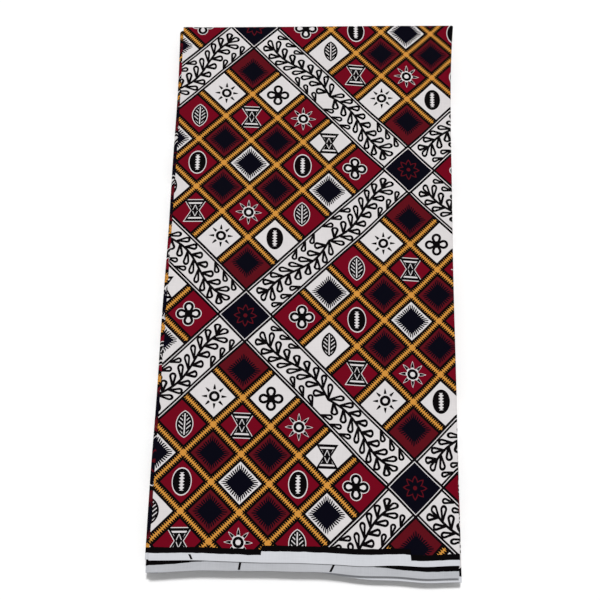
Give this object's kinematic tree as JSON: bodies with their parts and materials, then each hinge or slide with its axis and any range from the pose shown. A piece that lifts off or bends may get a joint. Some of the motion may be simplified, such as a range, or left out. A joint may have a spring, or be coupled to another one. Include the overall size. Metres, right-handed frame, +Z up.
{
  "type": "folded length of wax print cloth",
  "caption": "Flat folded length of printed cotton: doubled leaves with a lengthwise fold behind, layered selvages in front and rounded turns at the sides.",
  "frame": {"origin": "centre of the pile's outline, on the surface that it lies on", "axes": "+Z up, +Y towards the lengthwise fold, -Y towards the selvages, +X to the right when seen from the selvages"},
  "size_m": [0.307, 0.6003, 0.0165],
  "materials": {
    "wax_print": "matte printed cotton with a slight starch sheen"
  },
  "bodies": {
    "root": {"top_leaf": "wax_print", "second_leaf": "wax_print", "inner_leaves": "wax_print", "bottom_leaf": "wax_print"}
  },
  "joints": []
}
